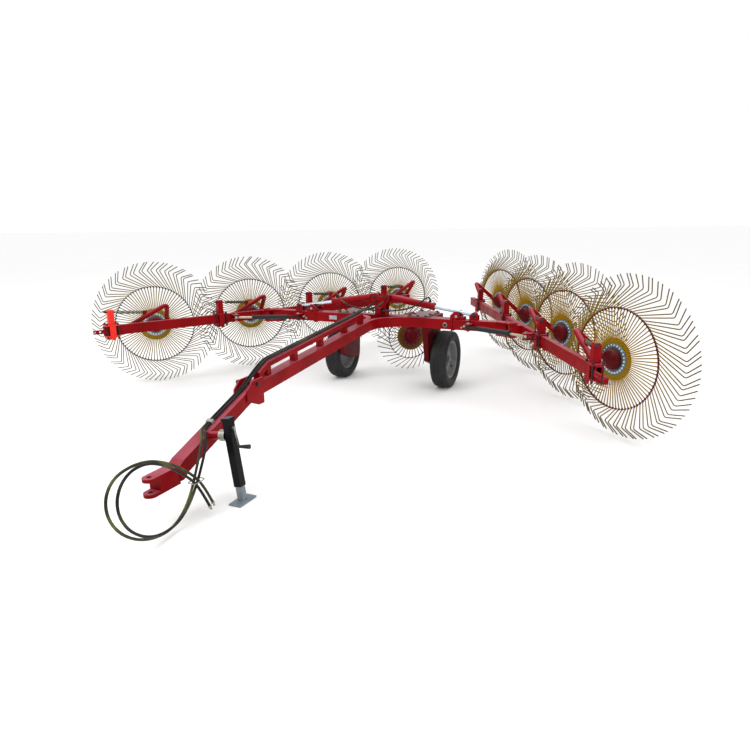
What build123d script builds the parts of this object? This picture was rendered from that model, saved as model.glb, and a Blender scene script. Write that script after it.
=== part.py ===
from build123d import *
import os
from math import sin, cos, tan, radians, degrees, pi, atan2, sqrt, hypot

# Trailed V rake with eight finger wheels and one centre wheel.
# Working axes: X to the right as seen from the hitch, -Y forward (hitch), +Z up.
# All places below are in millimetres in a travel frame whose origin is midway
# between the two road wheels, DATUM under the ground; Y_SHIFT and DATUM then
# move the whole machine so that its box is centred on Y and stands on Z = 0.
Y_SHIFT = 665.515
DATUM = 12.0

# ------------------------------------------------------------------ sizes
TYRE_R, TYRE_W, RIM_R = 315.0, 180.0, 216.0
TRACK_X, AXLE_Z = 640.0, DATUM + TYRE_R

BEAM_Y0, BEAM_Y1 = -345.0, -240.0          # front and rear face of the wing beams
BEAM_Z0, BEAM_Z1 = 725.0, 828.0            # bottom and top of beams and rails
RAIL_W = 50.0                              # width of one drawbar rail
CROSS_X = 800.0                            # half length of the cross tube
HINGE_X, HINGE_Z = 855.0, 866.0            # fold hinge axis (along Y)
HINGE_R = 14.0                             # fold hinge pin
FOLD_DEG = 25.0
YAW_DEG = 28.0

BETA, GAMMA = radians(28.27), radians(22.34)   # arm angle, extra wheel angle
W4_X, W4_Y = 768.0, 2026.0                     # rearmost wheel centre
PITCH = 1189.0                                 # wheel pitch along the arm
BAR, BAR_W = 100.0, 50.0                       # toolbar height and width
BAR_OFF = 430.0                                # toolbar inboard of the wheel line
BAR_A0, BAR_A1 = 150.0, 4235.0                 # toolbar ends along the arm
BAR_Z0 = 712.0
BAR_Z1 = BAR_Z0 + BAR
PIVOT_A, PIVOT_O = 2410.0, 530.0               # yaw pivot along the arm, and inboard of the wheel line

TIP_R, KINK_R, RING_R, DISC_R = 695.0, 600.0, 420.0, 176.0
KICK_C = (0.0, 580.0, 452.0)
KICK_ANG = radians(42.0)
KICK_TIP_R, KICK_RING_R = 432.0, 280.0

TOWER_PIN = (70.0, -292.0, 1030.0)
EYE = (1032.0, -292.0, 880.0)
ANG_A = (1000.0, -405.0, 771.0)                # angle cylinder base pin
ANG_E = (1640.0, -700.0, 771.0)                # angle cylinder rod eye

JACK_S = (120.0, -3350.0, 458.0)               # jack swivel centre
JACK_LEAN = 7.9
HITCH_PIN_Y = -3860.0
HITCH_HOLE_R = 16.0

u = Vector(sin(BETA), -cos(BETA), 0)           # along the right arm, forwards
nin = Vector(-cos(BETA), -sin(BETA), 0)        # from the wheel line to the toolbar
ww = Vector(sin(BETA + GAMMA), -cos(BETA + GAMMA), 0)   # in the wheel's plane
wn = Vector(-cos(BETA + GAMMA), -sin(BETA + GAMMA), 0)  # wheel axis, inboard

# like stations, front to rear: wheel number, place along the arm, hub height
STATIONS = [  # (number, along, hub_z)
    (1, 3 * PITCH, 710.5),
    (2, 2 * PITCH, 717.0),
    (3, 1 * PITCH, 724.0),
    (4, 0 * PITCH, 732.0),
]


def ao(a, o, z):
    """Point at a along the right arm, o inboard of the wheel line, height z."""
    return Vector(W4_X, W4_Y, 0) + u * a + nin * o + Vector(0, 0, z)


def box(x0, x1, y0, y1, z0, z1):
    return Pos((x0 + x1) / 2, (y0 + y1) / 2, (z0 + z1) / 2) * Box(x1 - x0, y1 - y0, z1 - z0)


def cyl(p, d, r, length):
    """Solid cylinder from point p along direction d."""
    d = Vector(*d) if not isinstance(d, Vector) else d
    p = Vector(*p) if not isinstance(p, Vector) else p
    pl = Plane(origin=p, z_dir=d)
    return pl * Cylinder(r, length, align=(Align.CENTER, Align.CENTER, Align.MIN))


def obox(o, xd, zd, x0, x1, y0, y1, z0, z1):
    """Box in the frame with origin o, x direction xd and z direction zd."""
    pl = Plane(origin=o, x_dir=xd, z_dir=zd)
    return pl * box(x0, x1, y0, y1, z0, z1)


def prism(pts, plane, depth):
    """Polygon of (a, b) points on a plane, extruded by depth along its normal."""
    w = Polyline(*[(p[0], p[1]) for p in pts], close=True)
    return extrude(plane * make_face(w), depth, dir=plane.z_dir)


def tube_path(pts, radii, r):
    """Round bar of radius r along straight runs joined by arcs."""
    path = FilletPolyline(*pts, radius=radii) if len(pts) > 2 else Line(*pts)
    start = path ^ 0 if False else path.location_at(0)
    pl = Plane(origin=path @ 0, z_dir=path % 0)
    return sweep(pl * Circle(r), path=path)


def both(fn):
    r = fn()
    return r, mirror(r, about=Plane.YZ)


parts = {}

# ------------------------------------------------------------- drawbar front
# clevis: block with two horizontal ears and a vertical pin hole
EAR_W, EAR_T = 88.0, 24.0
CL_Z0, CL_Z1 = 214.0, 338.0
clevis = box(-EAR_W / 2, EAR_W / 2, -3818, -3640, CL_Z0, CL_Z1)
for z0 in (CL_Z0, CL_Z1 - EAR_T):
    ear = box(-EAR_W / 2, EAR_W / 2, HITCH_PIN_Y, -3818, z0, z0 + EAR_T)
    ear += Pos(0, HITCH_PIN_Y, z0 + EAR_T / 2) * Cylinder(EAR_W / 2, EAR_T)
    clevis += ear
clevis -= Pos(0, HITCH_PIN_Y, 276) * Cylinder(HITCH_HOLE_R, 200)
parts["drawbar_clevis"] = clevis

# sloped front drawbar tube, cut square against the clevis block
TUBE = 100.0
slope = radians(20.3)
FT0 = Vector(0, -3600, 0)
front_pts = [(-3640, 250), (-3640, 352), (-2790, 670), (-2760, 570), (-3590, 262), (-3590, 250)]
front_pts = [(-3640, 232), (-3640, 336), (-3600, 362), (-2800, 658), (-2765, 563), (-3560, 269), (-3610, 232)]
drawbar = Pos(-TUBE / 2, 0, 0) * prism(front_pts, Plane.YZ, TUBE)
parts["drawbar_front"] = drawbar

# side plates joining the sloped tube to the rails, with a cross bolt
plate_pts = [(-2905, 560), (-2900, 640), (-2830, 700), (-2690, 702), (-2690, 500), (-2760, 500)]
hp = None
for x0 in (-TUBE / 2 - 12.0, TUBE / 2):
    s = Pos(x0, 0, 0) * prism(plate_pts, Plane.YZ, 12.0)
    hp = s if hp is None else hp + s
hp += cyl((TUBE / 2 + 12, -2770, 662), (1, 0, 0), 17, 14)
hp += cyl((-TUBE / 2 - 12, -2770, 662), (-1, 0, 0), 17, 60)
parts["drawbar_hinge"] = hp

# --------------------------------------------------------------- frame rails
# each rail runs back beside the other, then bends out to form half the cross beam
RAIL_Z = 104.0
RAIL_F = (-2765.0, 560.0)                  # front end: y, bottom z
RAIL_B = -345.0 + RAIL_W                   # rear face of the front strake
BEND_R = 330.0


def rail():
    # plan outline of the right rail: straight, bend, straight
    yb0, yb1 = BEAM_Y0, BEAM_Y0 + RAIL_W
    r_in, r_out = BEND_R, BEND_R + RAIL_W
    cx, cy = RAIL_W + r_in, BEAM_Y0 - r_in
    with BuildSketch() as sk:
        with BuildLine():
            p0 = (0, -2755.0)
            l1 = Line(p0, (0, cy))
            a1 = RadiusArc((0, cy), (cx, yb1), r_out)
            l2 = Line((cx, yb1), (CROSS_X, yb1))
            l3 = Line((CROSS_X, yb1), (CROSS_X, yb0))
            l4 = Line((CROSS_X, yb0), (cx, yb0))
            a2 = RadiusArc((cx, yb0), (RAIL_W, cy), -r_in)
            l5 = Line((RAIL_W, cy), (RAIL_W, -2755.0))
            l6 = Line((RAIL_W, -2755.0), p0)
        make_face()
    plan = extrude(sk.sketch, 1200)
    # side view: rises gently from the hinge to the cross beam
    side = [(-2755, 560), (-700, BEAM_Z0), (-100, BEAM_Z0), (-100, BEAM_Z1), (-700, BEAM_Z1), (-2755, 662)]
    env = Pos(-10, 0, 0) * prism(side, Plane.YZ, CROSS_X + 40)
    return plan & env


r_rail, l_rail = both(rail)
parts["frame_rails"] = r_rail + l_rail

# upper chord on spacer blocks, along the middle of the rails
CH_GAP, CH_H, CH_W = 68.0, 40.0, 60.0


def rail_top(y):
    y0, z0, y1, z1 = -2755.0, 662.0, -700.0, BEAM_Z1
    return z0 + (z1 - z0) * (min(y, y1) - y0) / (y1 - y0)


chord_pts = [(-2690, rail_top(-2690) + 18), (-2560, rail_top(-2560) + CH_GAP), (-840, rail_top(-840) + CH_GAP),
             (-840, rail_top(-840) + CH_GAP + CH_H), (-2570, rail_top(-2570) + CH_GAP + CH_H), (-2690, rail_top(-2690) + 62)]
chord = Pos(-CH_W / 2, 0, 0) * prism(chord_pts, Plane.YZ, CH_W)
SPACERS = [-2690, -2575, -2170, -1720, -1240, -880]    # front face of each block
for ys in SPACERS:
    blk = [(ys, rail_top(ys)), (ys, rail_top(ys) + CH_GAP + 8), (ys + 50, rail_top(ys + 50) + CH_GAP + 8), (ys + 50, rail_top(ys + 50))]
    if ys == -2690:
        blk = [(ys, rail_top(ys)), (ys, rail_top(ys) + 40), (ys + 60, rail_top(ys + 60) + 50), (ys + 60, rail_top(ys + 60))]
    chord += Pos(-CH_W / 2 + 4, 0, 0) * prism(blk, Plane.YZ, CH_W - 8)
parts["truss_chord"] = chord

# ----------------------------------------------------------- cross tube, tower
CT_Y0 = BEAM_Y0 + RAIL_W                   # front face of the rear cross tube
CT_Y1 = -190.0
cross = box(-CROSS_X, CROSS_X, CT_Y0, CT_Y1, BEAM_Z0, BEAM_Z1)
for s in (1, -1):                          # end plates carry the hinge ears
    x0, x1 = sorted((s * CROSS_X, s * (CROSS_X + 14)))
    cross += box(x0, x1, BEAM_Y0 - 6, CT_Y1 + 6, BEAM_Z0 - 14, BEAM_Z1 + 14)
parts["cross_tube"] = cross


def fold_hinge():
    """Front and rear ear of one fold hinge, and its pin."""
    zb, zp = BEAM_Z1 + 0.05, BEAM_Z1 + 14.05
    side = [(CROSS_X - 10, zb), (CROSS_X - 10, 872), (835, 912), (868, 912), (886, 885), (886, 852), (870, 840), (845, 836.5),
            (CROSS_X + 14.2, 836.5), (CROSS_X + 14.2, zp), (CROSS_X - 0.1, zp), (CROSS_X - 0.1, zb)]
    out = None
    for y0 in (BEAM_Y0 - 6, CT_Y1 - 12):
        pl = Plane(origin=(0, y0 + 18, 0), x_dir=(1, 0, 0), z_dir=(0, -1, 0))
        ear = prism(side, pl, 18)
        ear -= cyl((HINGE_X, y0 - 5, HINGE_Z), (0, 1, 0), HINGE_R + 0.05, 30)
        out = ear if out is None else out + ear
    return out + cyl((HINGE_X, BEAM_Y0 - 10, HINGE_Z), (0, 1, 0), HINGE_R, CT_Y1 - BEAM_Y0 + 20)


a, b = both(fold_hinge)
parts["fold_hinges"] = a + b

TX = TOWER_PIN[0]
tower = box(-62, 62, -347, -237, BEAM_Z1, BEAM_Z1 + 60)
tpts = [(-62, BEAM_Z1), (62, BEAM_Z1), (62, 950), (108, 1005), (108, 1040), (-108, 1040), (-108, 1005), (-62, 950)]
for y0 in (-347, -250):
    tower += prism(tpts, Plane(origin=(0, y0 + 13, 0), x_dir=(1, 0, 0), z_dir=(0, -1, 0)), 13)
    for s in (1, -1):
        tower += Pos(s * TX, y0 + 6.5, TOWER_PIN[2]) * Rot(90, 0, 0) * Cylinder(38, 13)
tower += box(-12, 12, -340, -245, BEAM_Z1 + 60, 980)
GUIDE_Z = 888.0                            # open guide that the two barrel hoses run into
guide = box(-30, 30, -405, -346, GUIDE_Z - 30, GUIDE_Z + 30) - box(-40, 40, -398, -352, GUIDE_Z - 23, GUIDE_Z + 23)
tower += guide
parts["centre_tower"] = tower

# ------------------------------------------------------------ road wheel legs


def leg():
    side = [(-338, BEAM_Z0), (-184, BEAM_Z0), (-184, BEAM_Z1), (80, BEAM_Z1), (150, 470), (135, 262), (-50, 262), (-270, 345)]
    body = Pos(470, 0, 0) * prism(side, Plane.YZ, 110)
    frontv = [(474, BEAM_Z1), (574, BEAM_Z1), (574, 690), (538, 668), (532, 250), (487, 250)]
    pl = Plane(origin=(0, 300, 0), x_dir=(1, 0, 0), z_dir=(0, -1, 0))
    env = prism([(p[0], p[1]) for p in frontv], pl, 700)
    b = body & env
    b += cyl((532, 0, AXLE_Z), (1, 0, 0), 30, 40)          # shoulder
    b += cyl((572, 0, AXLE_Z), (1, 0, 0), 22, 78)          # stub axle
    return b


parts["axle_leg_right"], parts["axle_leg_left"] = both(leg)


def top_plate():
    p = box(310, 530, -330, 95, BEAM_Z1, BEAM_Z1 + 12)
    return p


a, b = both(top_plate)
parts["leg_top_plates"] = a + b

# --------------------------------------------------------------- road wheels


def road_tyre():
    hw = TYRE_W / 2
    with BuildSketch(Plane.XZ) as sk:
        with BuildLine():
            Polyline((RIM_R - 8, -hw + 20), (RIM_R + 36, -hw), (TYRE_R - 36, -hw + 2), (TYRE_R - 15, -hw + 11),
                     (TYRE_R - 4, -hw + 26), (TYRE_R, -hw + 44), (TYRE_R, hw - 44), (TYRE_R - 4, hw - 26),
                     (TYRE_R - 15, hw - 11), (TYRE_R - 36, hw - 2), (RIM_R + 36, hw), (RIM_R - 8, hw - 20), close=True)
        make_face()
    t = revolve(sk.sketch, Axis.Z)
    return Pos(TRACK_X, 0, AXLE_Z) * Rot(0, 90, 0) * t


def road_rim():
    w = 70.0
    with BuildSketch(Plane.XZ) as sk:
        with BuildLine():
            Polyline((22.15, -62), (52, -62), (52, -8), (128, 4), (166, -12), (190, -52), (RIM_R - 8.2, -w + 2),
                     (RIM_R - 8.2, w - 2), (190, 60), (166, 8), (128, 16), (40, 6), (40, 34), (22.15, 34), close=True)
        make_face()
    t = revolve(sk.sketch, Axis.Z)
    t += Pos(0, 0, 34) * Cylinder(40, 8, align=(Align.CENTER, Align.CENTER, Align.MIN))
    return Pos(TRACK_X, 0, AXLE_Z) * Rot(0, 90, 0) * t


parts["tyre_right"], parts["tyre_left"] = both(road_tyre)
parts["rim_right"], parts["rim_left"] = both(road_rim)

# --------------------------------------------------------------- finger wheels
WIRE_T = 7.0


def pol(r, ang):
    return (r * cos(ang), r * sin(ang))


def finger_star(n, width, disc_r, ring_r, kink_r, tip_r, k_ang, t_ang):
    """Flat outline of n fingers on a ring with n spokes to a disc."""
    outer, step, hw = [], 2 * pi / n, width / 2
    ro, ri = ring_r + 8, ring_r - 8
    for i in range(n):
        a0 = i * step
        k, t = pol(kink_r, a0 + k_ang), pol(tip_r, a0 + t_ang)
        d0 = hw / ro / max(0.25, cos(atan2(kink_r * sin(k_ang), kink_r * cos(k_ang) - ro)))
        b0, b1 = pol(ro, a0 - d0), pol(ro, a0 + d0)
        s = pol(ro, a0)
        # unit normals of the two finger runs
        def nrm(p, q):
            L = hypot(q[0] - p[0], q[1] - p[1])
            return (-(q[1] - p[1]) / L, (q[0] - p[0]) / L)
        n1, n2 = nrm(s, k), nrm(k, t)
        m = (n1[0] + n2[0], n1[1] + n2[1])
        ml = m[0] * n1[0] + m[1] * n1[1]
        m = (m[0] / ml * hw, m[1] / ml * hw)
        outer += [b0, (k[0] - m[0], k[1] - m[1]), (t[0] - n2[0] * hw, t[1] - n2[1] * hw),
                  (t[0] + n2[0] * hw, t[1] + n2[1] * hw), (k[0] + m[0], k[1] + m[1]), b1]
    ow = Wire.make_polygon([Vector(p[0], p[1], 0) for p in outer], close=True)
    holes = []
    for i in range(n):
        a0, a1 = i * step, (i + 1) * step
        h = [pol(disc_r, a0 + hw / disc_r), pol(ri, a0 + hw / ri), pol(ri, a1 - hw / ri), pol(disc_r, a1 - hw / disc_r)]
        holes.append(Wire.make_polygon([Vector(p[0], p[1], 0) for p in h], close=True))
    return Face(ow, holes)


def finger_wheel(n, width, ring_r, kink_r, tip_r, k_ang, t_ang, dish, disc_z):
    star = Pos(0, 0, -400) * extrude(finger_star(n, width, DISC_R, ring_r, kink_r, tip_r, k_ang, t_ang), 800)
    t = WIRE_T / 2
    R = tip_r + 40
    ze = -dish * (R - ring_r) / (tip_r - ring_r)
    with BuildSketch(Plane.XZ) as sk:
        with BuildLine():
            Polyline((0, disc_z - t), (DISC_R + 4, disc_z - t), (ring_r, -t), (R, ze - t), (R, ze + t),
                     (ring_r, t), (DISC_R + 4, disc_z + t), (0, disc_z + t), close=True)
        make_face()
    shell = revolve(sk.sketch, Axis.Z)
    w = star & shell
    w += Pos(0, 0, disc_z + t) * Cylinder(135, 9, align=(Align.CENTER, Align.CENTER, Align.MIN))
    w += Pos(0, 0, disc_z + t + 9) * Cylinder(20, 44, align=(Align.CENTER, Align.CENTER, Align.MIN))
    w += Pos(0, 0, disc_z - t) * Cylinder(45, 12, align=(Align.CENTER, Align.CENTER, Align.MAX))
    return w


DISC_Z = 15.0
HOUS_Z0 = DISC_Z + WIRE_T / 2 + 9 + 5.5        # near face of the bearing housing
rake_w = finger_wheel(40, 13.0, RING_R, KINK_R, TIP_R, radians(-20.5), radians(-13.5), 130.0, DISC_Z)
print("rake wheel volume", rake_w.volume, "solids", len(rake_w.solids()))
for num, a, hz in STATIONS:
    c = ao(a, 0, hz)
    w = Plane(origin=c, x_dir=ww, z_dir=wn) * rake_w
    parts[f"rake_wheel_right_{num}"] = w
    parts[f"rake_wheel_left_{num}"] = mirror(w, about=Plane.YZ)

kick_w = finger_wheel(36, 11.0, KICK_RING_R, 360.0, KICK_TIP_R, radians(-8.5), radians(-19.0), 40.0, DISC_Z)
kn = Vector(sin(KICK_ANG), -cos(KICK_ANG), 0)
kw = Vector(-cos(KICK_ANG), -sin(KICK_ANG), 0)
kpl = Plane(origin=KICK_C, x_dir=kw, z_dir=kn)
parts["kicker_wheel"] = kpl * kick_w


def housing():
    with BuildSketch(Plane.XZ) as sk:
        with BuildLine():
            Polyline((20.1, HOUS_Z0), (86, HOUS_Z0), (86, HOUS_Z0 + 14), (74, HOUS_Z0 + 38), (50, HOUS_Z0 + 54),
                     (0, HOUS_Z0 + 58), (0, HOUS_Z0 + 44), (20.1, HOUS_Z0 + 44), close=True)
        make_face()
    return revolve(sk.sketch, Axis.Z)


kh = kpl * housing()
K = Vector(*KICK_C)
kp3 = K + kn * (HOUS_Z0 + 26) + Vector(0, 0, 60)
kick_arm = tube_path([(150, CT_Y1, 778), (150, 250, 778), tuple(kp3 + Vector(0, 0, 120)), tuple(kp3)], [110, 60], 24)
kick_arm += kh
kick_arm += box(100, 200, CT_Y1, CT_Y1 + 14, BEAM_Z0 + 2, BEAM_Z1 - 2)
parts["kicker_arm"] = kick_arm

# --------------------------------------------------------------------- wings


def wing():
    x0, x1 = CROSS_X + 33, 1360.0
    b = box(x0, x1, BEAM_Y0, BEAM_Y1, BEAM_Z0, BEAM_Z1)
    # inner end plate and hinge knuckle between the chassis ears
    b += box(x0 - 14, x0, BEAM_Y0, BEAM_Y1, BEAM_Z0 - 10, BEAM_Z1)
    ky0, ky1 = BEAM_Y0 + 18, CT_Y1 - 18
    kn_ = box(HINGE_X, HINGE_X + 78, ky0, BEAM_Y1 - 6, BEAM_Z1, HINGE_Z - 8)
    for y0, y1 in ((ky0, ky0 + 10), (EYE[1] + 25, ky1)):          # either side of the lift rod
        kn_ += cyl((HINGE_X, y0, HINGE_Z), (0, 1, 0), 26, y1 - y0)
    kn_ -= cyl((HINGE_X, ky0 - 100, HINGE_Z), (0, 1, 0), HINGE_R + 0.1, 400)
    b += kn_
    # ears for the lift rod eye
    for y0 in (EYE[1] - 36, EYE[1] + 20):
        ear = box(EYE[0] - 45, EYE[0] + 45, y0, y0 + 16, BEAM_Z1, EYE[2])
        ear += Pos(EYE[0], y0 + 8, EYE[2]) * Rot(90, 0, 0) * Cylinder(30, 16)
        b += ear
    # base ears of the angle cylinder, in front of the beam
    for z0 in (ANG_A[2] - 34, ANG_A[2] + 20):
        ear = box(ANG_A[0] - 34, ANG_A[0] + 34, ANG_A[1], BEAM_Y0, z0, z0 + 14)
        ear += Pos(ANG_A[0], ANG_A[1], z0 + 7) * Cylinder(30, 14)
        b += ear
    # end plate and the two horizontal plates that hold the toolbar
    b += box(x1, x1 + 12, BEAM_Y0 - 4, BEAM_Y1 + 4, BEAM_Z0 - 24, BEAM_Z1 + 10)
    pv = ao(PIVOT_A, PIVOT_O, 0)
    for z0, z1 in ((BAR_Z0 - 20, BAR_Z0 - 5.5), (BAR_Z1 + 5.5, BAR_Z1 + 20)):
        pts = [(x1 - 90, BEAM_Y0), (pv.X - 10, pv.Y - 54), (pv.X + 40, pv.Y - 36), (pv.X + 40, pv.Y + 36), (pv.X, pv.Y + 54), (x1 - 90, BEAM_Y1)]
        b += Pos(0, 0, z0) * prism(pts, Plane.XY, z1 - z0)
    b += box(x1 - 88, x1, BEAM_Y0 + 2, BEAM_Y1 - 2, BAR_Z0 - 6, BEAM_Z0)
    b -= Pos(pv.X, pv.Y, BAR_Z0 + 50) * Cylinder(20.1, 300)
    return b


parts["wing_beam_right"], parts["wing_beam_left"] = both(wing)

# ------------------------------------------------------------------- toolbars


def toolbar():
    o = ao(0, BAR_OFF, BAR_Z0)
    h = BAR_W / 2
    b = obox(o, u, Vector(0, 0, 1), BAR_A0, BAR_A1, -h, h, 0, BAR)
    for a0, a1 in ((BAR_A0, BAR_A0 + 120), (BAR_A1 - 160, BAR_A1)):     # open tube ends
        b -= obox(o, u, Vector(0, 0, 1), a0, a1, -h + 6, h - 6, 6, BAR - 6)
    pv = ao(PIVOT_A, PIVOT_O, 0)
    b += obox(ao(PIVOT_A, BAR_OFF + h, BAR_Z0), u, Vector(0, 0, 1), -46, 46, -(PIVOT_O - BAR_OFF - h), 0, 0, BAR)
    b += Pos(pv.X, pv.Y, BAR_Z0 + BAR / 2) * Cylinder(34, BAR)
    b += Pos(pv.X, pv.Y, BAR_Z0 + BAR / 2) * Cylinder(20, BAR + 56)
    for z in (BAR_Z0 - 28, BAR_Z1 + 22):
        b += Pos(pv.X, pv.Y, z + 3) * Cylinder(32, 6)
    # lug for the angle cylinder's rod eye
    e = Vector(*ANG_E)
    for z0 in (ANG_E[2] - 30, ANG_E[2] + 16):
        rel = e - Vector(W4_X, W4_Y, ANG_E[2])
        ae, oe = rel.dot(u), rel.dot(nin)
        lug = obox(ao(ae, BAR_OFF + h, z0), u, Vector(0, 0, 1), -34, 34, -(oe - BAR_OFF - h), 0, 0, 14)
        lug += Pos(e.X, e.Y, z0 + 7) * Cylinder(34, 14)
        b += lug
    # small drilled strap at the front end
    st = obox(ao(BAR_A1 - 14, BAR_OFF + h, BAR_Z0 + 30), u, Vector(0, 0, 1), 0, 124, -10, 0, 0, 40)
    for dx in (60, 108):
        st -= cyl(ao(BAR_A1 - 14 + dx, BAR_OFF + h - 20, BAR_Z0 + 50), nin, 9, 60)
    b += st
    return b


parts["toolbar_right"], parts["toolbar_left"] = both(toolbar)

POST_DA = 590.0            # station post ahead of its wheel's centre
PIV_Z = BAR_Z0 - 25.0      # carrier pivot below the toolbar
PIV_R = 14.0
ARM_R = 24.0               # carrier arm tube
ARM_OFF = BAR_OFF - BAR_W / 2 - 52.0       # carrier arm, just outboard of the toolbar
CLAMP_U, CLAMP_O, CLAMP_T = 55.0, 39.0, 11.0   # clamp bolts along and across the bar, plate thickness


def posts():
    out = None
    for num, a, hz in STATIONS:
        ap = a + POST_DA
        o = ao(ap, BAR_OFF, 0)
        # clamp plates above and below the toolbar
        for z0 in (BAR_Z1, BAR_Z0 - CLAMP_T):
            p = obox(o, u, Vector(0, 0, 1), -CLAMP_U - 15, CLAMP_U + 15, -CLAMP_O - 13, CLAMP_O + 13, z0, z0 + CLAMP_T)
            for du in (-CLAMP_U, CLAMP_U):
                for do in (-CLAMP_O, CLAMP_O):
                    p -= cyl(ao(ap + du, BAR_OFF + do, z0 - 5), (0, 0, 1), 6.1, 40)
            out = p if out is None else out + p
        # tapered upright
        pl = Plane(origin=ao(ap + 30, BAR_OFF, 0), x_dir=nin, z_dir=u * -1)
        zt = BAR_Z1 + CLAMP_T
        out += prism([(-32, zt - 1), (32, zt - 1), (28, zt + 128), (20, zt + 150), (-12, zt + 150), (-26, zt + 134)], pl, 60)
        # plate on the inboard face that joins the clamp plates
        out += prism([(42, BAR_Z0 - CLAMP_T), (52, BAR_Z0 - CLAMP_T), (52, zt), (42, zt)], pl, 60)
        # carrier pivot pin below the toolbar, with its sleeve and end knob
        out += cyl(ao(ap, BAR_OFF + 44, PIV_Z), nin * -1, PIV_R, 44 + BAR_OFF - ARM_OFF + 22 + 12)
        out += cyl(ao(ap, BAR_OFF + 56, PIV_Z), nin * -1, 22, 12)
        out += cyl(ao(ap, BAR_OFF - 26, PIV_Z), nin * -1, 24, BAR_OFF - 26 - ARM_OFF - 24.1)
    return out


parts["spring_posts_right"], parts["spring_posts_left"] = both(posts)


def clamp_bolts():
    out = None
    for num, a, hz in STATIONS:
        for du in (-CLAMP_U, CLAMP_U):
            for do in (-CLAMP_O, CLAMP_O):
                q = ao(a + POST_DA + du, BAR_OFF + do, 0)
                b = cyl((q.X, q.Y, BAR_Z0 - CLAMP_T - 24), (0, 0, 1), 6, BAR + 2 * CLAMP_T + 44)
                for z0 in (BAR_Z0 - CLAMP_T - 14, BAR_Z1 + CLAMP_T):
                    b += Pos(q.X, q.Y, z0 + 7) * Cylinder(11, 14)
                out = b if out is None else out + b
    return out


parts["clamp_bolts_right"], parts["clamp_bolts_left"] = both(clamp_bolts)


def carrier_line(a, hz):
    """Pivot and top of one carrier arm."""
    return ao(a + POST_DA, ARM_OFF, PIV_Z), ao(a - 30, ARM_OFF, hz + 260)


SPRING_F, SPRING_UP, SPRING_R = 0.60, 50.0, 17.0


def carriers():
    out = None
    for num, a, hz in STATIONS:
        c = ao(a, 0, hz)
        wp = Plane(origin=c, x_dir=ww, z_dir=wn)
        h = wp * housing()
        hn = HOUS_Z0 + 26
        p0, p1 = carrier_line(a, hz)
        p2 = c + ww * -128 + wn * (hn + 8) + Vector(0, 0, 48)
        p3 = c + ww * -60 + wn * hn + Vector(0, 0, 4)
        t = tube_path([tuple(p0), tuple(p1), tuple(p2), tuple(p3)], [60, 34], ARM_R)
        t += cyl(ao(a + POST_DA, ARM_OFF + 22, PIV_Z), nin * -1, 32, 44)
        t -= cyl(ao(a + POST_DA, ARM_OFF + 80, PIV_Z), nin * -1, PIV_R, 200)
        # lug for the spring
        q = p0 + (p1 - p0) * SPRING_F
        t += obox(q, u, Vector(0, 0, 1), -22, 22, -7, 7, 0, SPRING_UP + 18)
        t += h
        t -= wp * Pos(0, 0, HOUS_Z0 - 30) * Cylinder(20.1, 74, align=(Align.CENTER, Align.CENTER, Align.MIN))
        out = t if out is None else out + t
    return out


parts["carrier_arms_right"], parts["carrier_arms_left"] = both(carriers)


def springs():
    out = None
    for num, a, hz in STATIONS:
        p0, p1 = carrier_line(a, hz)
        q = p0 + (p1 - p0) * SPRING_F + Vector(0, 0, SPRING_UP)
        s0 = ao(a + POST_DA, BAR_OFF + 5, BAR_Z1 + 138)
        d = (q - s0)
        L = d.length
        s = cyl(s0, d, SPRING_R, L)
        out = s if out is None else out + s
    return out


sp = springs() - parts["spring_posts_right"] - parts["carrier_arms_right"]
sp = sorted(sp.solids(), key=lambda q: -q.volume)[:4]
sp = sp[0] + sp[1] + sp[2] + sp[3]
parts["tension_springs_right"], parts["tension_springs_left"] = sp, mirror(sp, about=Plane.YZ)

# ------------------------------------------------------------------ cylinders


def hyd(p, e, up, barrel_r, rod_r, start, barrel_len, eye_r, eye_t, base_r, stroke):
    """Barrel from start with a base eye at p, and rod with an eye at e; eye axes along up."""
    p, e = Vector(*p), Vector(*e)
    d = (e - p).normalized()
    L = (e - p).length
    b = cyl(p + d * start, d, barrel_r, barrel_len)
    b += cyl(p + d * (start + barrel_len - 26), d, barrel_r + 5, 26)
    eye = cyl(p - up * (eye_t / 2), up, base_r, eye_t)
    eye += obox(p, d, up, 0, start + 5, -base_r * 0.8, base_r * 0.8, -eye_t / 2, eye_t / 2)
    b += eye
    b -= cyl(p - up * 100, up, 14, 200)
    b -= cyl(p + d * (start + 30), d, rod_r + 0.05, barrel_len)
    r0 = start + 30 + 15 + stroke
    r = cyl(p + d * r0, d, rod_r, L - r0 - eye_r * 0.5)
    re = cyl(e - up * (eye_t / 2), up, eye_r, eye_t)
    r += re
    r -= cyl(e - up * 100, up, 13, 200)
    return b, r


UPY, UPZ = Vector(0, 1, 0), Vector(0, 0, 1)
lb, lr = hyd(TOWER_PIN, EYE, UPY, 37, 19, 55, 485, 27, 30, 32, 60)
parts["lift_barrel_right"], parts["lift_rod_right"] = lb, lr
parts["lift_barrel_left"], parts["lift_rod_left"] = mirror(lb, about=Plane.YZ), mirror(lr, about=Plane.YZ)
ab, ar = hyd(ANG_A, ANG_E, UPZ, 25, 12.5, 122, 400, 22, 28, 24, 160)
parts["angle_barrel_right"], parts["angle_rod_right"] = ab, ar
parts["angle_barrel_left"], parts["angle_rod_left"] = mirror(ab, about=Plane.YZ), mirror(ar, about=Plane.YZ)

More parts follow.
